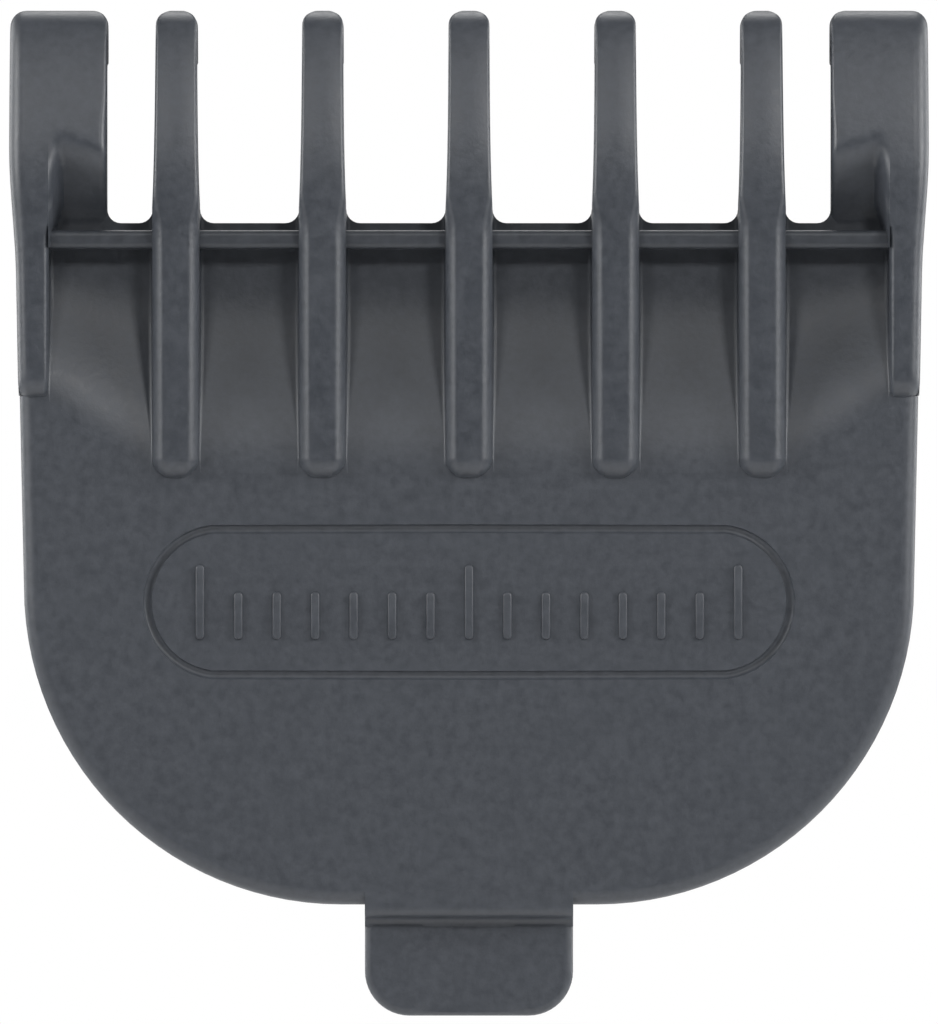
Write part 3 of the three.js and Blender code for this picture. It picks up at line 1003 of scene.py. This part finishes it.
class GUIDECOMB_OT_corner_teeth(bpy.types.Operator):
    """Model the wide corner teeth, scooped down to the bar"""

    bl_idname = "guide_comb.corner_teeth"
    bl_label = "Corner teeth"

    def execute(self, context):
        right = self.corner_tooth(context.scene.comb_shape)
        left = copy_of(right, "corner_tooth_left", mirror=True)
        finish_piece(right, "corner_tooth_right", "comb")
        finish_piece(left, "corner_tooth_left", "comb")
        return {"FINISHED"}

    def corner_tooth(self, shape):
        inner_x = CORNER_LOW.x
        sunk_z = 2.5 * MM
        sunk_y = -0.3 * MM
        row_gap = 0.2
        column_gap = 0.06
        tip_drops = (0.4, 0.2, 0.1, 0.04)
        floor_columns = (15.3 * MM, 15.8 * MM)
        pen = Pen("corner_tooth", "X", inner_x, (CREST_Y, sunk_z))
        draw_crest(pen)
        draw_hook(pen)
        draw_blade_flat(pen, sunk_y)
        pen.line((sunk_y, sunk_z), (CREST_Y, sunk_z))
        tooth = pen.solid(WALL_X - inner_x)
        round_by_share(tooth, lambda a, b: self.roundness(a, b, shape), shape.rib_radius, 6)
        slice_at(tooth, [row * row_gap * MM for row in range(16, 41)], (0, 0, 1))
        slice_at(tooth, [TIP_Z - drop * MM for drop in tip_drops], (0, 0, 1))
        slice_at(tooth, [WALL_X - i * column_gap * MM for i in range(1, 13)], (1, 0, 0))
        slice_at(tooth, floor_columns, (1, 0, 0))
        reshape(tooth, self.scooped)
        return tooth

    def roundness(self, a, b, shape):
        """The edges beside the gap are rounded; those inside the side wall aren't."""
        if max(a.x, b.x) > CORNER_LOW.x + NEAR:
            return 0.0
        z = (a.z + b.z) / 2
        y = (a.y + b.y) / 2
        crisp = shape.tooth_radius / shape.rib_radius
        if on_blade_side(y, z):
            return blade_side_share(z, crisp)
        wide = 0.6
        wide_until_z = 7.0 * MM
        crisp_from_z = 9.0 * MM
        return wide + (crisp - wide) * ease(z, wide_until_z, crisp_from_z)

    def scooped(self, co):
        """Hollow the front between the gap and the wall, and round the corner at the tip."""
        inner_x = CORNER_LOW.x
        slant_end_x = 16.4 * MM
        floor_z = 3.5 * MM
        top_z = 6.5 * MM
        slant = 0.8 * MM * slope(co.x, inner_x, slant_end_x)
        depth = (FLOOR_Y - CREST_Y) * (1 - ease(co.z, floor_z, top_z + slant))
        narrow = 0.12 * MM
        widening = 0.5 * MM * ease(co.z, 2.6 * MM, 4.6 * MM)
        flank = 1 - ease(co.x, WALL_X - narrow - widening, WALL_X)
        front = slope(-co.y, 0, -CREST_Y)
        co.y += depth * flank * front
        round_r = 0.55 * MM
        past = max(co.z - (TIP_Z - round_r), 0.0)
        pull = round_r - math.sqrt(max(0.0, round_r**2 - past**2))
        co.x += pull * (1 - slope(co.x, inner_x, inner_x + 2 * round_r))
        return co


class GUIDECOMB_OT_side_walls(bpy.types.Operator):
    """Model the walls that guide the ends of the blade"""

    bl_idname = "guide_comb.side_walls"
    bl_label = "Side walls"
    sunk = 0.15 * MM

    def execute(self, context):
        right = self.side_wall(context.scene.comb_shape)
        left = copy_of(right, "side_wall_left", mirror=True)
        finish_piece(right, "side_wall_right", "comb")
        finish_piece(left, "side_wall_left", "comb")
        return {"FINISHED"}

    def side_wall(self, shape):
        foot_z = WALL_LOW.z - self.sunk
        back_y = WALL_HIGH.y
        top_y = 1.0 * MM
        heel_y = -0.2 * MM
        row_gap = 0.75
        pen = Pen("side_wall", "X", WALL_X, (CREST_Y + RIB_END_RADIUS, foot_z))
        draw_rib_end(pen)
        draw_crest(pen)
        pen.line((top_y, TIP_Z))
        pen.curve((2.6 * MM, TIP_Z), (back_y, 11.2 * MM), (back_y, 9.6 * MM), steps=14)
        pen.line((back_y, 5.0 * MM), (back_y, 1.5 * MM))
        pen.curve((back_y, -2.0 * MM), (2.2 * MM, foot_z), (heel_y, foot_z), steps=16)
        for y in (-0.5, -0.8, -1.1, -1.5, -1.8, -2.1, -2.4):
            pen.line((y * MM, foot_z))
        wall = pen.solid(WALL_HIGH.x - WALL_X)
        round_by_share(wall, self.roundness, shape.wall_radius, 7)
        slice_at(wall, [row * row_gap * MM for row in range(-4, 16)], (0, 0, 1))
        reshape(wall, self.leaned)
        return wall

    def roundness(self, a, b):
        """The outer edges are round; the inner ones are only where the plate leaves them bare."""
        if abs(a.x - b.x) > NEAR:
            return 0.0
        z = (a.z + b.z) / 2
        y = (a.y + b.y) / 2
        on_foot = z < WALL_LOW.z - self.sunk + NEAR / 10
        toward_back = slope(y, -1.1 * MM, -0.5 * MM)
        toward_front = slope(-y, 1.8 * MM, 2.4 * MM)
        hidden_share = 0.08
        inner_share = 0.5
        blade_share = 0.25
        if a.x > WALL_X + NEAR:
            if not on_foot:
                return 1.0
            return hidden_share + (1 - hidden_share) * max(toward_back, toward_front)
        if y > -0.2 * MM or on_foot:
            return blade_share * toward_back
        return inner_share * (1 - slope(z, 2.8 * MM, 3.3 * MM))

    def leaned(self, co):
        """The outer face leans out from the foot, and bulges a little beside the teeth."""
        foot_x = 18.17 * MM
        lean = 0.12 * MM * slope(co.z, WALL_LOW.z, 3.0 * MM)
        bulge = 0.25 * MM * ease(co.z, 1.5 * MM, 6.5 * MM)
        tuck = 0.3 * MM * slope(-co.z, -WALL_LOW.z, 0.1 * MM - WALL_LOW.z)
        face_x = foot_x + lean + bulge - tuck
        share = (co.x - WALL_X) / (WALL_HIGH.x - WALL_X)
        co.x = WALL_X + share * (face_x - WALL_X)
        return co


class GUIDECOMB_OT_skirts(bpy.types.Operator):
    """Model the rim on the back of the plate"""

    bl_idname = "guide_comb.skirts"
    bl_label = "Skirts"

    def execute(self, context):
        shape = context.scene.comb_shape
        right = self.skirt(shape)
        left = copy_of(right, "skirt_left", mirror=True)
        finish_piece(right, "skirt_right", "comb")
        finish_piece(left, "skirt_left", "comb")
        return {"FINISHED"}

    def skirt(self, shape):
        wall = 1.2 * MM
        corner_z = PLATE_FOOT_Z + shape.corner_radius
        inner_r = shape.corner_radius - wall
        top = SKIRT_HIGH
        pen = Pen("skirt_right", "Y", RELIEF_Y, (top.x - wall, top.z))
        pen.line((shape.corner_x + inner_r, corner_z))
        pen.arc((shape.corner_x, corner_z), -90, steps=28)
        pen.arc((shape.corner_x, PLATE_FOOT_Z + wall / 2), 180, steps=10)
        pen.arc((shape.corner_x, corner_z), 90, steps=28)
        pen.line((top.x, top.z), (top.x - wall, top.z))
        skirt = pen.solid(SEAT_Y - RELIEF_Y)

        def back_edges(a, b):
            on_back = min(a.y, b.y) > SEAT_Y - NEAR
            return on_back and min(a.z, b.z) < top.z - NEAR

        edge_radius = 0.25 * MM
        round_edges(skirt, back_edges, edge_radius, segments=4)
        return skirt


class GUIDECOMB_OT_latch(bpy.types.Operator):
    """Model the thumb tab, the catch wall and its hook, and the neck that flexes"""

    bl_idname = "guide_comb.latch"
    bl_label = "Latch"

    def execute(self, context):
        finish_piece(self.thumb_tab(), "thumb_tab", "latch")
        finish_piece(self.catch_wall(), "latch_wall", "latch")
        finish_piece(self.hook(), "latch_hook", "latch")
        self.neck()
        return {"FINISHED"}

    def thumb_tab(self):
        r = 1.8 * MM
        edge_radius = 0.34 * MM
        dish_radius = 40.0 * MM
        dish = 0.10 * MM
        dish_z = TAB_LOW.z + 1.75 * MM
        pen = Pen("thumb_tab", "Y", TAB_LOW.y, (TAB_HIGH.x, TAB_HIGH.z))
        pen.line((TAB_LOW.x, TAB_HIGH.z), (TAB_LOW.x, TAB_LOW.z + r))
        pen.arc((TAB_LOW.x + r, TAB_LOW.z + r), 90, steps=12)
        pen.line((TAB_HIGH.x - r, TAB_LOW.z))
        pen.arc((TAB_HIGH.x - r, TAB_LOW.z + r), 90, steps=12)
        pen.line((TAB_HIGH.x, TAB_HIGH.z))
        tab = pen.solid(TAB_HIGH.y - TAB_LOW.y)

        def rim(a, b):
            flat = abs(a.y - b.y) < NEAR
            return flat and min(a.z, b.z) < TAB_HIGH.z - NEAR

        round_edges(tab, rim, edge_radius, segments=5)
        start_clean()
        bpy.ops.mesh.primitive_uv_sphere_add(
            segments=160,
            ring_count=120,
            radius=dish_radius,
            location=(0, TAB_LOW.y + dish - dish_radius, dish_z),
        )
        ball = bpy.context.object
        bpy.ops.object.transform_apply(location=True, rotation=True, scale=True)
        combine(tab, ball, "DIFFERENCE")
        return tab

    def catch_wall(self):
        sunk = 0.3 * MM
        edge_radius = 0.2 * MM
        low = (CATCH_LOW.x, CATCH_LOW.y - sunk, CATCH_LOW.z)
        wall = block("latch_wall", low, CATCH_HIGH)

        def outer_edges(a, b):
            return max(a.y, b.y) > CATCH_LOW.y

        round_edges(wall, outer_edges, edge_radius, segments=3)
        return wall

    def hook(self):
        lead = 0.3 * MM
        sunk = 0.3 * MM
        back_y = HOOK_HIGH.y - 0.1 * MM
        edge_radius = 0.1 * MM
        pen = Pen("latch_hook", "X", HOOK_LOW.x, (HOOK_LOW.y, HOOK_LOW.z - sunk))
        pen.line((back_y, HOOK_LOW.z - sunk), (back_y, HOOK_HIGH.z - lead))
        pen.arc((back_y - lead, HOOK_HIGH.z - lead), 90, steps=5)
        pen.line((HOOK_LOW.y, HOOK_HIGH.z), (HOOK_LOW.y, HOOK_LOW.z - sunk))
        hook = pen.solid(HOOK_HIGH.x - HOOK_LOW.x)

        def top_edges(a, b):
            return min(a.z, b.z) > HOOK_LOW.z + 0.1 * MM

        round_edges(hook, top_edges, edge_radius, segments=2)
        return hook

    def neck(self):
        """The flexing web: it rounds over from the plate into the step, and joins the tab."""
        face = PLATE_Y + 0.01 * MM
        back = RELIEF_Y - 0.05 * MM
        tab_face = TAB_LOW.y + 0.01 * MM
        web_back = TAB_HIGH.y - 0.45 * MM
        foot_z = TAB_HIGH.z - 0.2 * MM
        fold = 0.45 * MM
        step_z = PLATE_LOW.z - 0.1 * MM
        top_z = PLATE_FOOT_Z + 1.0 * MM
        pen = Pen("flex_neck", "X", TAB_LOW.x, (face, top_z))
        pen.line((face, step_z + fold))
        pen.curve((face, step_z), (face + fold, step_z), steps=6)
        pen.curve((tab_face, step_z), (tab_face, foot_z), steps=6)
        pen.line((web_back, foot_z), (web_back, TAB_HIGH.z))
        pen.line((back, PLATE_FOOT_Z), (back, top_z), (face, top_z))
        neck = pen.solid(TAB_HIGH.x - TAB_LOW.x)
        finish_surface(neck)
        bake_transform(neck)


class GUIDECOMB_OT_stage(bpy.types.Operator):
    """Set up the pale floor, the soft studio light and the camera"""

    bl_idname = "guide_comb.stage"
    bl_label = "Stage"

    def execute(self, context):
        scene = context.scene
        self.camera(scene)
        self.floor()
        self.world(scene)
        self.lights()
        scene.view_settings.view_transform = "Standard"
        return {"FINISHED"}

    def camera(self, scene):
        """Square on to the skin side, through a long lens."""
        lens = 714.0
        sensor = 36.0
        view_width = 37.8 * MM
        middle_z = -8.17 * MM
        distance = view_width * lens / sensor
        start_clean()
        bpy.ops.object.camera_add(
            location=(0, PLATE_Y - distance, middle_z),
            rotation=(math.pi / 2, 0, 0),
        )
        camera = bpy.context.object
        camera.name = "camera"
        camera.data.sensor_fit = "HORIZONTAL"
        camera.data.sensor_width = sensor
        camera.data.lens = lens
        camera.data.clip_start = 0.01
        camera.data.clip_end = 20.0
        camera.data.dof.use_dof = False
        scene.camera = camera

    def floor(self):
        start_clean()
        drop = 110.0 * MM
        bpy.ops.mesh.primitive_circle_add(
            vertices=128,
            radius=0.4,
            fill_type="NGON",
            location=(0, 0, TAB_LOW.z - drop),
        )
        floor = bpy.context.object
        floor.name = "floor"
        material = bpy.data.materials.new("Pale floor")
        material.use_nodes = True
        nodes, links = material.node_tree.nodes, material.node_tree.links
        shader = nodes["Principled BSDF"]
        shader.inputs["Roughness"].default_value = 0.9
        place = nodes.new("ShaderNodeTexCoord")
        cloud = nodes.new("ShaderNodeTexNoise")
        cloud.inputs["Scale"].default_value = 40.0
        tint = nodes.new("ShaderNodeValToRGB")
        tint.color_ramp.elements[0].color = (0.86, 0.86, 0.865, 1)
        tint.color_ramp.elements[1].color = (0.9, 0.9, 0.9, 1)
        links.new(place.outputs["Object"], cloud.inputs["Vector"])
        links.new(cloud.outputs["Fac"], tint.inputs["Fac"])
        links.new(tint.outputs["Color"], shader.inputs["Base Color"])
        floor.data.materials.append(material)
        floor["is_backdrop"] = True

    def world(self, scene):
        """White to the eye, with most of its light coming from behind the comb and above."""
        world = bpy.data.worlds.new("Studio")
        world.use_nodes = True
        scene.world = world
        nodes, links = world.node_tree.nodes, world.node_tree.links
        glow = nodes["Background"]
        seen = nodes.new("ShaderNodeBackground")
        seen.inputs["Color"].default_value = (1.0, 1.0, 1.0, 1)
        seen.inputs["Strength"].default_value = 1.0
        way = nodes.new("ShaderNodeTexCoord")
        split = nodes.new("ShaderNodeSeparateXYZ")
        links.new(way.outputs["Generated"], split.inputs[0])
        behind = nodes.new("ShaderNodeMapRange")
        behind.inputs["From Min"].default_value = -0.2
        behind.inputs["From Max"].default_value = 0.5
        behind.inputs["To Min"].default_value = 0.02
        behind.inputs["To Max"].default_value = 0.8
        links.new(split.outputs["Y"], behind.inputs["Value"])
        links.new(behind.outputs["Result"], glow.inputs["Strength"])
        light_path = nodes.new("ShaderNodeLightPath")
        mix = nodes.new("ShaderNodeMixShader")
        links.new(light_path.outputs["Is Camera Ray"], mix.inputs[0])
        links.new(glow.outputs[0], mix.inputs[1])
        links.new(seen.outputs[0], mix.inputs[2])
        links.new(mix.outputs[0], nodes["World Output"].inputs["Surface"])

    def lights(self):
        """Soft boxes on a dome: low ones at both sides draw the edges, the rest fill."""
        aim = Vector((0, 0, -8.0 * MM))
        dome_radius = 0.5
        for name, azimuth, elevation, size, watts in (
            ("side_right", 72, 20, 0.25, 2.4),
            ("side_left", -72, 20, 0.25, 2.2),
            ("front_right", 24, 31, 0.08, 0.76),
            ("front_left", -18, 31, 0.08, 0.43),
            ("top", 0, 65, 0.25, 0.12),
            ("back_right", 125, 10, 0.3, 1.2),
            ("back_left", -125, 10, 0.3, 1.2),
            ("back_top", 180, 50, 0.3, 1.0),
        ):
            turn, rise = math.radians(azimuth), math.radians(elevation)
            flat = math.cos(rise)
            way = Vector((math.sin(turn) * flat, -math.cos(turn) * flat, math.sin(rise)))
            start_clean()
            bpy.ops.object.light_add(type="AREA", location=aim + way * dome_radius)
            light = bpy.context.object
            light.name = name
            light.data.size = size
            light.data.energy = watts
            light.visible_camera = False
            light.rotation_euler = (-way).to_track_quat("-Z", "Y").to_euler()


PIECE_OPERATORS = (
    GUIDECOMB_OT_face_plate,
    GUIDECOMB_OT_size_marks,
    GUIDECOMB_OT_teeth,
    GUIDECOMB_OT_bridge_bar,
    GUIDECOMB_OT_corner_teeth,
    GUIDECOMB_OT_side_walls,
    GUIDECOMB_OT_skirts,
    GUIDECOMB_OT_latch,
)


class GUIDECOMB_PT_panel(bpy.types.Panel):
    """Lists the steps that build the comb"""

    bl_idname = "GUIDECOMB_PT_panel"
    bl_label = "Guide Comb"
    bl_space_type = "VIEW_3D"
    bl_region_type = "UI"
    bl_category = "Guide Comb"

    def draw(self, context):
        layout = self.layout
        for operator in (GUIDECOMB_OT_stage,) + PIECE_OPERATORS:
            layout.operator(operator.bl_idname)
        for group in (context.scene.comb_shape, context.scene.comb_finish):
            for name in group.__annotations__:
                layout.prop(group, name)


CLASSES = (CombShape, CombFinish, GUIDECOMB_OT_stage) + PIECE_OPERATORS + (GUIDECOMB_PT_panel,)


def register():
    for cls in CLASSES:
        bpy.utils.register_class(cls)
    bpy.types.Scene.comb_shape = bpy.props.PointerProperty(type=CombShape)
    bpy.types.Scene.comb_finish = bpy.props.PointerProperty(type=CombFinish)


def unregister():
    del bpy.types.Scene.comb_finish
    del bpy.types.Scene.comb_shape
    for cls in reversed(CLASSES):
        bpy.utils.unregister_class(cls)


def main():
    register()
    bpy.ops.guide_comb.stage()
    bpy.ops.guide_comb.face_plate()
    bpy.ops.guide_comb.size_marks()
    bpy.ops.guide_comb.teeth()
    bpy.ops.guide_comb.bridge_bar()
    bpy.ops.guide_comb.corner_teeth()
    bpy.ops.guide_comb.side_walls()
    bpy.ops.guide_comb.skirts()
    bpy.ops.guide_comb.latch()
    sizes = {"cad": CAD_BOX, "visual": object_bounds()}
    {k: [list(corner) for corner in v] for k, v in sizes.items()}


if __name__ == "__main__":
    main()
